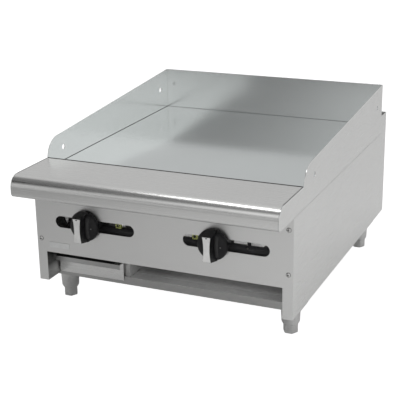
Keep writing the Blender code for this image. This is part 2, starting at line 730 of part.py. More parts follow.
def knob_insert(side, x, silver):
    thickness = 1.2
    rear = KNOB_FRONT - GAP
    face = prism(grip_outline(x, inset=0.6), "y", rear - thickness, rear)
    return node(f"knob_insert_{side}", face, silver, origin=(x, 0.0, KNOB_Z))


# Small parts on the front

def panel_screw(name, x, z, steel):
    """A pan head with a cross recess, and a plain shank."""
    head_front = -3.2
    recess_floor = -1.8
    shank = 1.8
    arm = (2.6, 0.5)
    profile = [(0.0, head_front), (2.6, -3.0), (4.4, -2.0), (5.0, -GAP), (shank, -GAP), (shank, 9.0), (0.0, 9.0)]
    screw = turned(profile, (x, 0.0, z), (0, 1, 0), 12)
    recess = [box((x - a, -5.0, z - b), (x + a, recess_floor, z + b)) for a, b in (arm, arm[::-1])]
    return node(f"panel_screw_{name}", combine(screw, cut=recess), steel)


def nameplate(steel):
    plate = box((-273.0, -GAP - 0.8, 148.0), (-222.0, -GAP, 161.0))
    return node("nameplate", plate, steel)


def build():
    for leftover in list(bpy.data.objects):
        bpy.data.objects.remove(leftover, do_unlink=True)

    brushed = finish("brushed_stainless", (0.62, 0.62, 0.61), 0.32, 1.0)
    galvanised = finish("galvanised_sheet", (0.52, 0.53, 0.53), 0.45, 1.0)
    polished_plate = finish("polished_plate", (0.60, 0.63, 0.63), 0.18, 1.0)
    cast = finish("cast_leg", (0.60, 0.60, 0.60), 0.35, 1.0)
    black_iron = finish("black_iron", (0.02, 0.02, 0.02), 0.5, 0.3)
    brass = finish("brass", (0.72, 0.60, 0.30), 0.35, 1.0)
    burner_steel = finish("burner_steel", (0.45, 0.44, 0.42), 0.4, 1.0)
    aluminium = finish("aluminium", (0.80, 0.80, 0.80), 0.35, 1.0)
    plastic = finish("knob_plastic", (0.02, 0.02, 0.02), 0.35, 0.0)
    silver = finish("knob_silver", (0.75, 0.75, 0.74), 0.3, 0.6)
    zinc = finish("screw_steel", (0.65, 0.65, 0.64), 0.25, 1.0)

    for sign in (-1, 1):
        side_panel(sign, brushed)
        side_splash(sign, brushed)
        plate_ledge(sign, galvanised)
        for height, z in SCREW_Z.items():
            panel_screw(f"{SIDES[sign > 0]}_{height}", sign * SCREW_X, z, zinc)
    front_panel(brushed)
    back_panel(galvanised)
    front_rail(brushed)
    rear_rail(galvanised)
    floor_pan(galvanised)
    tray_guide("left", GUIDE_X[0], -1, galvanised)
    tray_guide("right", GUIDE_X[1], 1, galvanised)
    front_baffle(galvanised)
    burner_support(galvanised)
    griddle_plate(polished_plate)
    rear_splash(brushed)
    front_shelf(brushed)
    grease_trough(brushed)
    grease_chute(brushed)
    grease_tray(brushed)
    nameplate(silver)

    for y, end in zip(FOOT_Y, ("front", "rear")):
        for sign in (-1, 1):
            leg(f"{end}_{SIDES[sign > 0]}", sign * FOOT_X, y, cast)
            levelling_foot(f"{end}_{SIDES[sign > 0]}", sign * FOOT_X, y, cast)

    manifold(black_iron)
    supply(black_iron)
    manifold_tap(black_iron)
    for side, x in zip(SIDES, KNOB_X):
        valve_body(side, x, black_iron)
        valve_stem(side, x, zinc)
        knob(side, x, plastic)
        knob_insert(side, x, silver)
        orifice(side, x, brass)
        air_shutter(side, x, burner_steel)
        burner(side, x, burner_steel)
    for side, x, burner_x in zip(SIDES, PILOT_X, PILOT_BURNER_X):
        pilot_valve(side, x, brass)
        pilot_screw(side, x, zinc)
        pilot_tube(side, x, burner_x, aluminium)
        pilot_burner(side, burner_x, burner_steel)


build()
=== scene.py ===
"""Looks of the countertop gas griddle: its fine surfaces and materials, the floor, the light and the camera.

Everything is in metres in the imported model's own frame: +X right, +Y to the rear, +Z up.
"""

import json
import math

import bmesh
import bpy
from mathutils import Matrix, Vector


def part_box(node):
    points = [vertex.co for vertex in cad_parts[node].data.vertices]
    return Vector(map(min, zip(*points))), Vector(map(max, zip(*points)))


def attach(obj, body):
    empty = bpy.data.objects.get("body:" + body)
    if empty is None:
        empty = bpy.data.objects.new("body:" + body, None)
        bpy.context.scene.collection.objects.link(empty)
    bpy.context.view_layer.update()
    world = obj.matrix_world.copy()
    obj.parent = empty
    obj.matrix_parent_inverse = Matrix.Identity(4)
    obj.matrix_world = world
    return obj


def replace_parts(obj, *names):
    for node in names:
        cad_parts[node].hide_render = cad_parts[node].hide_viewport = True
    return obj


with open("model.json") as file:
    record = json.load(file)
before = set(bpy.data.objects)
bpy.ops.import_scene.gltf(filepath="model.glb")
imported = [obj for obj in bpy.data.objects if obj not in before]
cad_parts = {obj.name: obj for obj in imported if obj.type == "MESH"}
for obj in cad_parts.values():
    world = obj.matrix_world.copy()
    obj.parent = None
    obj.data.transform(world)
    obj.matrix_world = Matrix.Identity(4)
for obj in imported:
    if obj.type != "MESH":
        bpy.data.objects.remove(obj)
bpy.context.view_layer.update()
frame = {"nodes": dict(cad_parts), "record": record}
NODES = frame["nodes"]
SIDES = ("left", "right")
SIGNS = {"left": -1.0, "right": 1.0}
MM = 0.001


# Node materials

class Material:
    """A Principled material and short ways to wire nodes into it."""

    def __init__(self, name, colour, metallic, roughness):
        self.made = bpy.data.materials.new(name)
        self.made.use_nodes = True
        self.tree = self.made.node_tree
        self.shader = self.tree.nodes["Principled BSDF"]
        self.shader.inputs["Base Color"].default_value = (*colour, 1.0)
        self.shader.inputs["Metallic"].default_value = metallic
        self.shader.inputs["Roughness"].default_value = roughness
        self.colour = colour

    def node(self, kind, **inputs):
        made = self.tree.nodes.new(kind)
        for key, value in inputs.items():
            made.inputs[key.replace("_", " ")].default_value = value
        return made

    def link(self, source, target):
        self.tree.links.new(source, target)

    def place(self, stretch):
        """Coordinates on the object in metres, scaled along each axis."""
        mapping = self.node("ShaderNodeMapping", Scale=stretch)
        self.link(self.node("ShaderNodeTexCoord").outputs["Object"], mapping.inputs["Vector"])
        return mapping.outputs["Vector"]

    def along(self, axis):
        """One coordinate on the object, in metres."""
        axes = self.node("ShaderNodeSeparateXYZ")
        self.link(self.place((1.0, 1.0, 1.0)), axes.inputs["Vector"])
        return axes.outputs[axis]

    def noise(self, stretch, detail=4.0):
        made = self.node("ShaderNodeTexNoise", Scale=1.0, Detail=detail, Roughness=0.55)
        self.link(self.place(stretch), made.inputs["Vector"])
        return made.outputs["Fac"]

    def span(self, value, low, high, start=0.0, end=1.0):
        made = self.node("ShaderNodeMapRange", From_Min=start, From_Max=end, To_Min=low, To_Max=high)
        self.link(value, made.inputs["Value"])
        return made.outputs["Result"]

    def shade(self, value, low, high, start=0.3, end=0.7):
        """The base colour, made darker and lighter by a value."""
        ramp = self.node("ShaderNodeValToRGB")
        ramp.color_ramp.elements[0].position = start
        ramp.color_ramp.elements[1].position = end
        for element, factor in zip(ramp.color_ramp.elements, (low, high)):
            element.color = (*[min(1.0, channel * factor) for channel in self.colour], 1.0)
        self.link(value, ramp.inputs["Fac"])
        self.link(ramp.outputs["Color"], self.shader.inputs["Base Color"])

    def rough(self, value, low, high, start=0.3, end=0.7):
        self.link(self.span(value, low, high, start, end), self.shader.inputs["Roughness"])

    def bump(self, value, depth, strength):
        made = self.node("ShaderNodeBump", Strength=strength, Distance=depth)
        self.link(value, made.inputs["Height"])
        self.link(made.outputs["Normal"], self.shader.inputs["Normal"])


GRAIN = {"x": (9.0, 1600.0, 1600.0), "y": (1600.0, 9.0, 1600.0), "z": (1600.0, 1600.0, 9.0)}


def brushed(name, colour, roughness, axis, grain=0.025, depth=0.000005):
    """Sheet steel with fine scratches along one axis and faint broad clouding."""
    made = Material(name, colour, 1.0, roughness)
    scratches = made.noise(GRAIN[axis], detail=3.0)
    clouds = made.noise((5.0, 5.0, 5.0), detail=2.0)
    made.shade(clouds, 0.985, 1.015)
    made.rough(scratches, roughness - grain, roughness + grain)
    made.bump(scratches, depth, 0.12)
    return made.made


def painted_shade_by_height(name, colour, roughness, low_z, high_z):
    """Sheet steel with painted shade: darker towards its upper edge."""
    made = Material(name, colour, 1.0, roughness)
    height = made.span(made.along("Z"), 0.0, 1.0, low_z, high_z)
    cloud = made.span(made.noise((60.0, 60.0, 60.0)), -0.12, 0.12)
    total = made.node("ShaderNodeMath")
    made.link(height, total.inputs[0])
    made.link(cloud, total.inputs[1])
    made.shade(total.outputs[0], 1.0, 0.18, 0.05, 0.95)
    made.rough(made.noise(GRAIN["z"]), roughness - 0.05, roughness + 0.05)
    return made.made


def cast_metal(name, colour, roughness):
    made = Material(name, colour, 1.0, roughness)
    grain = made.noise((900.0, 900.0, 900.0), detail=4.0)
    made.shade(made.noise((60.0, 60.0, 60.0)), 0.93, 1.06)
    made.rough(grain, roughness - 0.06, roughness + 0.08)
    made.bump(grain, 0.00003, 0.5)
    return made.made


def galvanised(name, colour, roughness, metallic=0.35):
    """Zinc-coated sheet with large faint crystals."""
    made = Material(name, colour, metallic, roughness)
    crystals = made.node("ShaderNodeTexVoronoi", Scale=1.0)
    made.link(made.place((110.0, 110.0, 110.0)), crystals.inputs["Vector"])
    grey = made.node("ShaderNodeSeparateColor")
    made.link(crystals.outputs["Color"], grey.inputs["Color"])
    made.shade(grey.outputs["Red"], 0.94, 1.05, 0.0, 1.0)
    made.rough(grey.outputs["Green"], roughness - 0.06, roughness + 0.06, 0.0, 1.0)
    made.bump(made.noise((500.0, 500.0, 500.0)), 0.00002, 0.4)
    return made.made


def moulded_plastic(name, colour, roughness):
    made = Material(name, colour, 0.0, roughness)
    made.shader.inputs["Specular IOR Level"].default_value = 0.25
    stipple = made.noise((2600.0, 2600.0, 2600.0), detail=2.0)
    made.shade(made.noise((90.0, 90.0, 90.0)), 0.85, 1.15)
    made.rough(made.noise((140.0, 140.0, 140.0)), roughness - 0.05, roughness + 0.07)
    made.bump(stipple, 0.00004, 0.35)
    return made.made


def painted_iron(name, colour, roughness):
    made = Material(name, colour, 0.0, roughness)
    made.shade(made.noise((45.0, 45.0, 45.0)), 0.8, 1.3)
    made.rough(made.noise((200.0, 200.0, 200.0)), roughness - 0.08, roughness + 0.1)
    made.bump(made.noise((420.0, 420.0, 420.0)), 0.0002, 0.5)
    return made.made


STEEL = (0.72, 0.72, 0.712)
MATERIALS = {
    "steel_x": brushed("steel_brushed_across", STEEL, 0.26, "x"),
    "steel_y": brushed("steel_brushed_lengthways", STEEL, 0.28, "y"),
    "steel_front": brushed("steel_front", STEEL, 0.38, "x"),
    # Painted light: a glossier, slightly lighter copy of the steel for the inner faces of the side splashes.
    "steel_cheek": brushed("steel_cheek", (0.72, 0.73, 0.725), 0.17, "y", grain=0.02),
    # Painted light: a lighter copy of the steel for the rear splash.
    "steel_splash": brushed("steel_splash", (0.76, 0.77, 0.765), 0.19, "x", grain=0.02),
    # Painted shade: a darker copy of the steel for the front rail and the guide's flange beside the tray.
    "steel_rail_painted_shade": brushed("steel_rail_painted_shade", (0.43, 0.43, 0.425), 0.36, "x"),
    "steel_fold": brushed("steel_fold_painted_shade", (0.50, 0.50, 0.495), 0.30, "x"),
    "steel_return": painted_shade_by_height("steel_return_painted_shade", (0.58, 0.58, 0.575), 0.42, 0.080, 0.104),
    # Painted shade: a near-black sheet behind the left slot.
    "shield_dark": galvanised("shield_painted_shade", (0.11, 0.11, 0.11), 0.4, metallic=0.1),
    "plate": brushed("griddle_plate_ground", (0.69, 0.725, 0.725), 0.13, "x", grain=0.02),
    "shield": galvanised("shield_galvanised", (0.80, 0.80, 0.79), 0.4, metallic=0.1),
    "galvanised": galvanised("galvanised_sheet", (0.58, 0.585, 0.585), 0.5),
    "pan": galvanised("galvanised_pan", (0.65, 0.65, 0.645), 0.5, metallic=0.15),
    # Painted light: a lighter copy of the galvanised sheet for the tray guides; the pilot nuts share it.
    "guide": galvanised("galvanised_painted_light", (0.74, 0.74, 0.735), 0.45, metallic=0.4),
    # Painted shade: near-black sheet for the baffle, burner support and plate ledges inside the cabinet.
    "interior_shade": galvanised("galvanised_painted_shade", (0.06, 0.06, 0.058), 0.6, metallic=0.2),
    "cast": cast_metal("leg_metal", (0.62, 0.62, 0.615), 0.22),
    "black_iron": painted_iron("black_iron", (0.015, 0.015, 0.016), 0.42),
    "brass": galvanised("brass", (0.42, 0.45, 0.17), 0.35, metallic=0.3),
    "burner": cast_metal("burner_steel", (0.30, 0.29, 0.27), 0.45),
    "aluminium": cast_metal("aluminium", (0.70, 0.70, 0.70), 0.35),
    "knob_black": moulded_plastic("knob_black", (0.008, 0.008, 0.009), 0.40),
    # Painted highlight: lighter black plastic for the knob's shoulder.
    "knob_highlight": moulded_plastic("knob_black_painted_highlight", (0.034, 0.034, 0.034), 0.46),
    # Painted highlight: light grey plastic for the glint on the knob's skirt.
    "knob_glint": moulded_plastic("knob_glint", (0.13, 0.13, 0.13), 0.5),
    "knob_silver": cast_metal("knob_silver", (0.88, 0.88, 0.87), 0.34),
    "nameplate": cast_metal("nameplate_satin", (0.78, 0.79, 0.785), 0.5),
    "screw": cast_metal("screw_zinc", (0.62, 0.62, 0.61), 0.22),
    "seam": cast_metal("seam_shadow", (0.07, 0.07, 0.07), 0.6),
}


# Meshes

def piece(name, builder, material, body, smooth=30.0):
    mesh = bpy.data.meshes.new(name)
    bmesh.ops.recalc_face_normals(builder, faces=builder.faces)
    builder.to_mesh(mesh)
    builder.free()
    mesh.materials.append(MATERIALS[material])
    mesh.shade_smooth()
    mesh.set_sharp_from_angle(angle=math.radians(smooth))
    made = bpy.data.objects.new(name, mesh)
    bpy.context.scene.collection.objects.link(made)
    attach(made, body)
    return made


def body_of(node):
    return next(name for name, members in frame["record"]["behaviour"]["bodies"].items() if node in members)


EDGE_ROUNDING = 0.4 * MM
SHARP_ANGLE = math.radians(32.0)


def skin(node, material):
    """A node's own surface with its edges rounded, in place of the node."""
    builder = bmesh.new()
    builder.from_mesh(NODES[node].data)
    bmesh.ops.remove_doubles(builder, verts=builder.verts, dist=1e-6)
    bmesh.ops.dissolve_limit(builder, angle_limit=math.radians(0.5), verts=builder.verts, edges=builder.edges)
    sharp = [e for e in builder.edges if len(e.link_faces) == 2 and e.calc_face_angle(0.0) > SHARP_ANGLE]
    rounded(builder, EDGE_ROUNDING, sharp)
    made = piece(f"{node}_surface", builder, material, body_of(node), smooth=50.0)
    weighted = made.modifiers.new("WeightedNormal", "WEIGHTED_NORMAL")
    weighted.keep_sharp = True
    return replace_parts(made, node)


def repaint(made, material, chosen):
    """Another material on the faces whose middle and direction are chosen."""
    made.data.materials.append(MATERIALS[material])
    for face in made.data.polygons:
        if chosen(face.center, face.normal):
            face.material_index = len(made.data.materials) - 1


def box(low, high):
    builder = bmesh.new()
    size = Vector(high) - Vector(low)
    middle = (Vector(high) + Vector(low)) / 2.0
    bmesh.ops.create_cube(builder, size=1.0, matrix=Matrix.Translation(middle) @ Matrix.Diagonal((*size, 1.0)))
    return builder


def rounded(builder, offset, edges=None):
    """Rounds these edges, or all of them."""
    bmesh.ops.bevel(builder, geom=edges or builder.edges[:], offset=offset, segments=2, affect="EDGES", profile=0.5,
                    clamp_overlap=True)
    return builder


def prism(outline, axis, start, end):
    """A solid with this outline, whose two coordinates are the other two axes in x, y, z order."""
    order = {"x": (2, 0, 1), "y": (0, 2, 1), "z": (0, 1, 2)}[axis]
    builder = bmesh.new()
    rings = [[builder.verts.new([(a, b, level)[i] for i in order]) for a, b in outline] for level in (start, end)]
    for ring in rings:
        builder.faces.new(ring)
    for i in range(len(outline)):
        builder.faces.new((rings[0][i - 1], rings[0][i], rings[1][i], rings[1][i - 1]))
    return builder


def lathe(profile, centre, axis, sides=32):
    """A closed solid of revolution: the profile's (radius, distance) points start and end on the axis."""
    turn = Vector(axis).to_track_quat("Z", "Y").to_matrix()
    builder = bmesh.new()
    rings = []
    for radius, along in profile:
        count = sides if radius > 0.0 else 1
        angles = [2.0 * math.pi * i / sides for i in range(count)]
        places = [Vector((radius * math.cos(a), radius * math.sin(a), along)) for a in angles]
        rings.append([builder.verts.new(Vector(centre) + turn @ place) for place in places])
    for lower, upper in zip(rings, rings[1:]):
        for i in range(sides):
            corners = []
            for ring, place in ((lower, i - 1), (lower, i), (upper, i), (upper, i - 1)):
                vert = ring[place if len(ring) > 1 else 0]
                if vert not in corners:
                    corners.append(vert)
            builder.faces.new(corners)
    return builder


def middle_of(node):
    low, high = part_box(node)
    return [(a + b) / 2.0 for a, b in zip(low, high)]


SKINS = {
    "steel_x": ("front_shelf", "grease_tray", "grease_trough", "grease_chute"),
    "steel_y": ("left_side_panel", "right_side_panel"),
    "steel_front": ("front_panel",),
    "steel_cheek": ("left_side_splash", "right_side_splash"),
    "steel_splash": ("rear_splash",),
    "steel_rail_painted_shade": ("front_rail",),
    "plate": ("griddle_plate",),
    "galvanised": ("back_panel", "rear_rail"),
    "pan": ("floor_pan",),
    "guide": ("tray_guide_left", "tray_guide_right"),
    "cast": tuple(f"{kind}_{end}_{side}" for kind in ("leg", "foot") for end in ("front", "rear") for side in SIDES),
    "knob_black": ("knob_left", "knob_right"),
    "knob_silver": ("knob_insert_left", "knob_insert_right"),
    "nameplate": ("nameplate",),
    "screw": tuple(f"panel_screw_{side}_{height}" for side in SIDES for height in ("upper", "lower")),
}
SURFACES = {node: skin(node, material) for material, nodes in SKINS.items() for node in nodes}

KEPT = {
    "interior_shade": ("front_baffle", "burner_support", "plate_ledge_left", "plate_ledge_right"),
    "black_iron": ("manifold_pipe", "manifold_tap", "supply_elbow", "supply_pipe", "valve_body_left",
                   "valve_body_right"),
    "brass": ("orifice_left", "orifice_right", "pilot_valve_left", "pilot_valve_right"),
    "burner": ("air_shutter_left", "air_shutter_right", "burner_left", "burner_right",
               "pilot_burner_left", "pilot_burner_right"),
    "aluminium": ("pilot_tube_left", "pilot_tube_right"),
    "screw": ("valve_stem_left", "valve_stem_right", "pilot_screw_left", "pilot_screw_right"),
}
for material, nodes in KEPT.items():
    for node in nodes:
        NODES[node].data.materials.clear()
        NODES[node].data.materials.append(MATERIALS[material])


# Finish of single faces

PANEL_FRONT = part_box("front_panel")[0][1]
TRAY_FOLD_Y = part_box("tray_guide_right")[0][1] - 6.5 * MM
OPENING_TOP = 0.136
RETURN_INNER_X = 0.2815


def in_opening_return(centre, normal):
    """The panel's folds that run back beside the opening below it."""
    return abs(centre.x) > RETURN_INNER_X and centre.y > PANEL_FRONT + 2.0 * MM and centre.z < OPENING_TOP


# Painted shade: the folds beside the opening get steel painted darker towards their top.
repaint(SURFACES["front_panel"], "steel_return", in_opening_return)
# Painted shade: the tray's faces ahead of the fold take a darker copy of the steel.
repaint(SURFACES["grease_tray"], "steel_fold",
        lambda centre, normal: centre.y < TRAY_FOLD_Y and normal.y < -0.5)
# Painted light: the rail's top faces take the pan's paler, less metallic finish.
repaint(SURFACES["front_rail"], "pan", lambda centre, normal: normal.z > 0.5)
# The outer faces get the plain side steel, the inner ones keep the lighter painted copy.
for side in SIDES:
    repaint(SURFACES[f"{side}_side_splash"], "steel_y",
            lambda centre, normal, sign=SIGNS[side]: normal.x * sign > 0.5)


# Small pieces of sheet metal

def seams():
    """Dark lines of grease and painted shadow beside the plate and beside the shelf's ends, and of painted shadow
    along the shelf's rear edge and at the panel's front corners.
    """
    low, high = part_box("griddle_plate")
    width, height = 0.9 * MM, 0.3 * MM
    runs = {
        "plate_seam_left": ((low[0], low[1], high[2]), (low[0] + width, high[1], high[2] + height)),
        "plate_seam_right": ((high[0] - width, low[1], high[2]), (high[0], high[1], high[2] + height)),
        "plate_seam_rear": ((low[0], high[1] - 0.5 * width, high[2]), (high[0], high[1], high[2] + 0.5 * height)),
    }
    low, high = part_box("front_shelf")
    runs["shelf_rear_bead"] = ((low[0] + 1.0 * MM, high[1] - 1.2 * MM, high[2] - 0.3 * MM),
                               (high[0] - 1.0 * MM, high[1] - 0.1 * MM, high[2] + 0.8 * MM))
    for side, x in zip(SIDES, (low[0], high[0] - 1.1 * MM)):
        runs[f"shelf_seam_{side}"] = ((x, low[1] + 27.0 * MM, high[2] - 0.2 * MM),
                                      (x + 1.1 * MM, high[1], high[2] + 0.15 * MM))
    panel_low, panel_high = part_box("front_panel")
    for side in SIDES:
        x = SIGNS[side] * (panel_high[0] - 0.6 * MM)
        runs[f"corner_seam_{side}"] = ((x - 0.45 * MM, PANEL_FRONT + 1.1 * MM, panel_low[2] + 1.0 * MM),
                                       (x + 0.45 * MM, PANEL_FRONT + 2.2 * MM, panel_high[2] - 1.0 * MM))
    for name, (low, high) in runs.items():
        piece(name, box(low, high), "seam", "cabinet")


def guide_flange():
    """The guide's front edge turns towards the tray and closes the gap beside it."""
    guide_low, guide_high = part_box("tray_guide_right")
    tray_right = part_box("grease_tray")[1][0]
    low = (tray_right - 1.4 * MM, guide_low[1] - 0.2 * MM, guide_low[2])
    high = (guide_high[0] - 0.2 * MM, guide_low[1] + 1.2 * MM, guide_high[2])
    # Painted shade: the flange takes the darker copy of the rail steel.
    piece("tray_guide_flange", rounded(box(low, high), 0.3 * MM), "steel_rail_painted_shade", "cabinet")


def shields():
    """Pale strips behind the gas pipe, and a dark one on the left that is painted shade, tilted so that they face
    the slots.
    """
    pipe_low, pipe_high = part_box("manifold_pipe")
    tilt = math.radians(21.0)
    thickness, width = 1.0 * MM, 26.0 * MM
    front = pipe_high[1] + 0.5 * MM
    bottom = pipe_high[2] - 11.0 * MM
    back, top = front + width * math.sin(tilt), bottom + width * math.cos(tilt)
    outline = [(front, bottom), (front + thickness, bottom), (back + thickness, top), (back, top)]
    tube_low, tube_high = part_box("pilot_tube_right")
    left_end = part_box("valve_body_left")[1][0]
    right_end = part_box("valve_body_right")[1][0]
    spans = {"left": (left_end + 3.0 * MM, left_end + 46.0 * MM, "shield_dark"),
             "inner": (tube_low[0] - 62.0 * MM, tube_high[0] - 8.0 * MM, "shield"),
             "outer": (right_end + 3.0 * MM, pipe_high[0] + 18.0 * MM, "shield")}
    for name, (start, end, material) in spans.items():
        piece(f"slot_shield_{name}", prism(outline, "x", start, end), material, "cabinet")


def pipe_end():
    """The cap on the pipe's closed end, and the three-cornered bracket that holds it."""
    low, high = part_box("manifold_pipe")
    centre = (low[0], (low[1] + high[1]) / 2.0, (low[2] + high[2]) / 2.0)
    radius = (high[2] - low[2]) / 2.0 + 3.0 * MM
    profile = [(0.0, -12.5 * MM), (radius - 3.0 * MM, -12.5 * MM), (radius - 0.5 * MM, -9.5 * MM),
               (radius, -7.0 * MM), (radius, 7.5 * MM), (radius - 1.0 * MM, 9.0 * MM), (0.0, 9.0 * MM)]
    piece("manifold_cap", lathe(profile, centre, (1.0, 0.0, 0.0)), "black_iron", "cabinet")
    tip = (low[0] - 22.0 * MM, high[2] - 7.0 * MM)
    outline = [tip, (low[0] - 20.0 * MM, high[2] + 14.0 * MM), (low[0] - 35.0 * MM, high[2] + 14.0 * MM)]
    builder = prism(outline, "y", centre[1] - 0.6 * MM, centre[1] + 0.6 * MM)
    turn = Matrix.Rotation(math.radians(-19.0), 3, "X")
    bmesh.ops.rotate(builder, cent=(tip[0], centre[1], tip[1]), matrix=turn, verts=builder.verts)
    piece("pipe_bracket", builder, "shield", "cabinet")


def pilot_nuts():
    """A compression nut beside each pilot valve, where its tube leaves, and the plug in the pipe's tap."""
    for side in SIDES:
        low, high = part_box(f"pilot_tube_{side}")
        radius = 5.6 * MM
        centre = (low[0], middle_of(f"pilot_valve_{side}")[1], middle_of(f"pilot_tube_{side}")[2])
        profile = [(0.0, -3.2 * MM), (radius - 0.6 * MM, -3.2 * MM), (radius, -2.6 * MM), (radius, 4.0 * MM),
                   (radius - 1.0 * MM, 5.0 * MM), (0.0, 5.0 * MM)]
        piece(f"pilot_nut_{side}", lathe(profile, centre, (1.0, 0.0, 0.0), 6), "guide", "cabinet")
    low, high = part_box("manifold_tap")
    centre = ((low[0] + high[0]) / 2.0, (low[1] + high[1]) / 2.0 - 9.3 * MM, low[2] - 4.0 * MM)
    profile = [(0.0, -0.6 * MM), (2.0 * MM, -0.6 * MM), (2.0 * MM, 1.2 * MM), (1.2 * MM, 1.8 * MM), (0.0, 2.0 * MM)]
    piece("tap_plug", lathe(profile, centre, (0.0, -0.7, 0.7), 12), "burner", "cabinet")


# Knobs

SKIRT_RADIUS = (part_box("knob_left")[1][0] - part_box("knob_left")[0][0]) / 2.0
KNOB_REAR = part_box("knob_left")[1][1]


def skirt_y(across, up):
    """How far forward the knob's domed skirt is at a point seen from the front."""
    share = min(1.0, math.hypot(across, up) / SKIRT_RADIUS)
    return KNOB_REAR - 5.0 * MM - 13.0 * MM * math.sqrt(1.0 - share * share)


def knob_details(side):
    """A soft shoulder and a dot beside the grip, both in lighter plastic as painted highlights, and the small notch
    in the silver face.
    """
    body = f"knob_assembly_{side}"
    x, _, z = middle_of(f"knob_insert_{side}")
    shoulder_x, half_width, half_height, swell = 13.2 * MM, 4.2 * MM, 25.0 * MM, 1.6 * MM
    steps = 12
    builder = bmesh.new()
    rows = []
    for i in range(steps + 1):
        up = half_height * (2.0 * i / steps - 1.0)
        row = []
        for j in range(steps + 1):
            across = 2.0 * j / steps - 1.0
            rise = math.sqrt(max(0.0, 1.0 - across ** 2)) * math.sqrt(max(0.0, 1.0 - (up / half_height) ** 2))
            place_x = shoulder_x + half_width * across
            y = skirt_y(place_x, up) + 0.3 * MM
            row.append((builder.verts.new((x + place_x, y - swell * rise, z + up)),
                        builder.verts.new((x + place_x, y + 1.2 * MM, z + up))))
        rows.append(row)
    for lower, upper in zip(rows, rows[1:]):
        for j in range(steps):
            for k in (0, 1):
                builder.faces.new((lower[j][k], lower[j + 1][k], upper[j + 1][k], upper[j][k]))
    border = [(0, j) for j in range(steps)] + [(i, steps) for i in range(steps)]
    border += [(steps, steps - j) for j in range(steps)] + [(steps - i, 0) for i in range(steps)]
    for (a, b), (c, d) in zip(border, border[1:] + border[:1]):
        builder.faces.new((rows[a][b][0], rows[c][d][0], rows[c][d][1], rows[a][b][1]))
    piece(f"knob_shoulder_{side}", builder, "knob_highlight", body, smooth=60.0)

    # The dot is a painted highlight.
    dot_x = 22.0 * MM
    radius = 1.5 * MM
    centre = (x + dot_x, skirt_y(dot_x, 0.0), z)
    profile = [(0.0, -1.0 * MM), (radius, -1.0 * MM), (radius, 0.3 * MM), (radius * 0.6, 0.7 * MM), (0.0, 0.8 * MM)]
    piece(f"knob_glint_{side}", lathe(profile, centre, (0.55, -0.83, 0.0), 20), "knob_glint", body)

    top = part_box(f"knob_insert_{side}")[1][2]
    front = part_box(f"knob_insert_{side}")[0][1]
    builder = bmesh.new()
    place = Matrix.Translation((x, front + 0.3 * MM, top - 2.2 * MM))
    size = Matrix.Diagonal((2.7 * MM, 0.5 * MM, 1.5 * MM, 1.0))
    bmesh.ops.create_uvsphere(builder, u_segments=20, v_segments=10, radius=1.0, matrix=place @ size)
    piece(f"knob_notch_{side}", builder, "knob_black", body)


def cross_recess(name, label, centre, half_size, depth):
    """Two crossed dark bars in a screw's head, painted shade for its recess, lying flat against a face that looks
    along y.
    """
    x, z = centre
    long, short = half_size
    for turn, (a, b) in (("flat", (long, short)), ("upright", (short, long))):
        piece(f"{name}_{turn}_{label}", box((x - a, depth[0], z - b), (x + a, depth[1], z + b)), "seam", "cabinet")


def screw_shadows():
    """A painted shadow line round each screw head, and painted shade in its recess."""
    for side in SIDES:
        for height in ("upper", "lower"):
            node = f"panel_screw_{side}_{height}"
            x, _, z = middle_of(node)
            profile = [(0.0, -0.5 * MM), (5.4 * MM, -0.5 * MM), (5.4 * MM, 0.1 * MM), (5.1 * MM, 0.25 * MM),
                       (0.0, 0.25 * MM)]
            piece(f"screw_ring_{side}_{height}", lathe(profile, (x, PANEL_FRONT, z), (0.0, -1.0, 0.0), 24), "seam",
                  "cabinet")
            cross_recess("screw_recess", f"{side}_{height}", (x, z), (2.5 * MM, 0.45 * MM),
                         (PANEL_FRONT - 2.2 * MM, PANEL_FRONT - 1.6 * MM))


def back_screws():
    """Countersunk screws along the edges of the back panel, clear of the gas pipe."""
    low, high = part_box("back_panel")
    rear = high[1]
    pipe_x, _, pipe_z = middle_of("supply_pipe")
    spots = [(x, z) for x in (low[0] + 12.0 * MM, high[0] - 12.0 * MM) for z in (0.095, 0.180, 0.255, 0.322)]
    spots += [(x, z) for x in (-0.145, 0.0, 0.145) for z in (0.085, 0.325)]
    for number, (x, z) in enumerate(spots):
        if abs(x - pipe_x) < 0.03 and abs(z - pipe_z) < 0.04:
            continue
        profile = [(0.0, -0.6 * MM), (4.2 * MM, -0.6 * MM), (4.2 * MM, 0.02 * MM), (3.9 * MM, 0.06 * MM),
                   (0.0, 0.06 * MM)]
        piece(f"back_screw_{number}", lathe(profile, (x, rear, z), (0.0, 1.0, 0.0), 20), "screw", "cabinet")
        # The recess is painted shade: dark bars on the head.
        cross_recess("back_screw_recess", number, (x, z), (2.2 * MM, 0.4 * MM),
                     (rear - 0.3 * MM, rear + 0.09 * MM))


seams()
guide_flange()
shields()
pipe_end()
pilot_nuts()
for side in SIDES:
    knob_details(side)
screw_shadows()
back_screws()


# Floor, light and camera

ROOM = 0.66     # brightness of the room that the object reflects
WHITE = 1.2     # brightness of what the camera sees behind the object


def camera_sees(tree, value, seen):
    """One value for what the object reflects, another for what the camera sees of the paper behind it."""
    path = tree.nodes.new("ShaderNodeLightPath")
    mix = tree.nodes.new("ShaderNodeMix")
    tree.links.new(path.outputs["Is Camera Ray"], mix.inputs["Factor"])
    if isinstance(value, float):
        mix.inputs["A"].default_value = value
    else:
        tree.links.new(value, mix.inputs["A"])
    mix.inputs["B"].default_value = seen
    return mix.outputs["Result"]


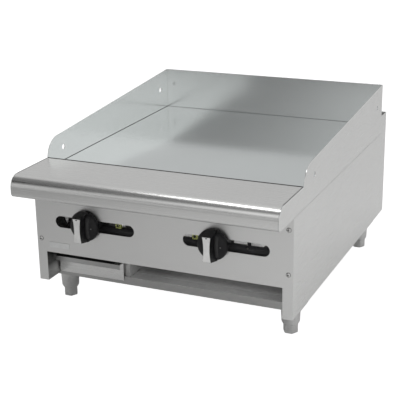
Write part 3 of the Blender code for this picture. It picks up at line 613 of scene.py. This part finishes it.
def make_floor():
    """Paper that looks evenly white to the camera; what the object reflects of it darkens to the left."""
    builder = bmesh.new()
    bmesh.ops.create_grid(builder, x_segments=1, y_segments=1, size=12.0)
    mesh = bpy.data.meshes.new("floor")
    builder.to_mesh(mesh)
    builder.free()
    paper = Material("floor_paper", (0.30, 0.30, 0.30), 0.0, 1.0)
    paper.shader.inputs["Specular IOR Level"].default_value = 0.0
    paper.shader.inputs["Emission Color"].default_value = (1.0, 1.0, 1.0, 1.0)
    albedo = paper.span(paper.along("X"), 0.45, 0.95, -0.85, 0.35)
    grey = paper.node("ShaderNodeCombineColor")
    level = camera_sees(paper.tree, albedo, 0.30)
    for channel in ("Red", "Green", "Blue"):
        paper.link(level, grey.inputs[channel])
    paper.link(grey.outputs["Color"], paper.shader.inputs["Base Color"])
    paper.link(camera_sees(paper.tree, 0.05, 0.97), paper.shader.inputs["Emission Strength"])
    mesh.materials.append(paper.made)
    floor = bpy.data.objects.new("floor", mesh)
    bpy.context.scene.collection.objects.link(floor)


def heading(azimuth, elevation):
    """A direction: azimuth in degrees from straight ahead of the object towards its left, and elevation."""
    around, up = math.radians(azimuth), math.radians(elevation)
    return Vector((-math.sin(around) * math.cos(up), -math.cos(around) * math.cos(up), math.sin(up)))


def blob(tree, direction_socket, towards, spread, core):
    """1 towards a direction, falling smoothly to 0 over the spread in degrees."""
    dot = tree.nodes.new("ShaderNodeVectorMath")
    dot.operation = "DOT_PRODUCT"
    dot.inputs[1].default_value = towards
    tree.links.new(direction_socket, dot.inputs[0])
    ramp = tree.nodes.new("ShaderNodeMapRange")
    ramp.interpolation_type = "SMOOTHSTEP"
    ramp.inputs["From Min"].default_value = math.cos(math.radians(spread))
    ramp.inputs["From Max"].default_value = math.cos(math.radians(core))
    tree.links.new(dot.outputs["Value"], ramp.inputs["Value"])
    return ramp.outputs["Result"]


ROOM_PATCHES = (
    # azimuth, elevation, spread, core, change of brightness
    (22.5, 11.5, 9.5, 1.5, -0.50),
    (12.0, 14.0, 8.0, 2.0, 0.15),
    (-37.0, 10.0, 16.0, 12.5, 0.68),
    (57.0, 51.0, 36.0, 12.0, -0.50),
    (47.0, 30.0, 14.0, 7.0, -0.36),
    (16.0, 35.0, 14.0, 8.0, 0.58),
    (211.0, 16.0, 30.0, 8.0, 0.38),
    (156.0, 17.0, 40.0, 20.0, -0.055),
)


def make_world():
    """A pale studio with the darker and lighter areas of ROOM_PATCHES, and plain white behind the object."""
    world = bpy.data.worlds.new("studio")
    world.use_nodes = True
    bpy.context.scene.world = world
    tree = world.node_tree
    background = tree.nodes["Background"]
    background.inputs["Color"].default_value = (1.0, 1.0, 1.0, 1.0)
    direction = tree.nodes.new("ShaderNodeTexCoord").outputs["Generated"]
    room = tree.nodes.new("ShaderNodeValue")
    room.outputs[0].default_value = ROOM
    level = room.outputs[0]
    for azimuth, elevation, spread, core, change in ROOM_PATCHES:
        added = tree.nodes.new("ShaderNodeMath")
        added.operation = "MULTIPLY_ADD"
        tree.links.new(blob(tree, direction, heading(azimuth, elevation), spread, core), added.inputs[0])
        added.inputs[1].default_value = change
        tree.links.new(level, added.inputs[2])
        level = added.outputs[0]
    tree.links.new(camera_sees(tree, level, WHITE), background.inputs["Strength"])


FILL_LIGHTS = (
    # name, place, the point it shines at, size, watts: small lights inside, for the floor pan and the two slots
    ("cabinet_fill", (0.125, -0.20, 0.130), (0.125, -0.20, 0.0), (0.29, 0.20), 0.020),
    ("slot_fill_end", (-0.262, -0.316, 0.236), (-0.262, -0.28, 0.195), (0.02, 0.01), 0.006),
    ("slot_fill_left", (-0.118, -0.316, 0.236), (-0.118, -0.28, 0.203), (0.05, 0.01), 0.014),
    ("slot_fill_inner", (0.050, -0.316, 0.236), (0.050, -0.265, 0.200), (0.09, 0.01), 0.026),
    ("slot_fill_outer", (0.180, -0.316, 0.236), (0.180, -0.260, 0.195), (0.13, 0.01), 0.034),
)


def area_light(name, location, target, size, power):
    data = bpy.data.lights.new(name, "AREA")
    data.shape = "RECTANGLE"
    data.size, data.size_y = size
    data.energy = power
    light = bpy.data.objects.new(name, data)
    bpy.context.scene.collection.objects.link(light)
    light.location = location
    light.rotation_euler = (Vector(target) - Vector(location)).to_track_quat("-Z", "Y").to_euler()
    return light


def make_camera():
    """Stands front right and a little above, looking down at the griddle."""
    azimuth, elevation, roll = 0.4174, 0.3270, -0.0167
    back = Vector((math.sin(azimuth) * math.cos(elevation), -math.cos(azimuth) * math.cos(elevation),
                   math.sin(elevation)))
    right = (-back).cross(Vector((0.0, 0.0, 1.0))).normalized()
    up = right.cross(-back)
    rolled_right = right * math.cos(roll) + up * math.sin(roll)
    rolled_up = up * math.cos(roll) - right * math.sin(roll)
    data = bpy.data.cameras.new("camera")
    data.sensor_width = 36.0
    data.lens = 93.05
    camera = bpy.data.objects.new("camera", data)
    bpy.context.scene.collection.objects.link(camera)
    rotation = Matrix((rolled_right, rolled_up, back)).transposed().to_4x4()
    camera.matrix_world = Matrix.Translation((0.9233, -2.1866, 0.9939)) @ rotation
    bpy.context.scene.camera = camera


make_floor()
make_world()
make_camera()
area_light("overhead", (-0.22, -0.58, 2.2), (-0.1, -0.3, 0.3), (1.15, 0.40), 6.0)
for fill in FILL_LIGHTS:
    light = area_light(*fill)
    light.visible_camera = False
    light.visible_glossy = False
bpy.context.scene.view_settings.view_transform = "Standard"
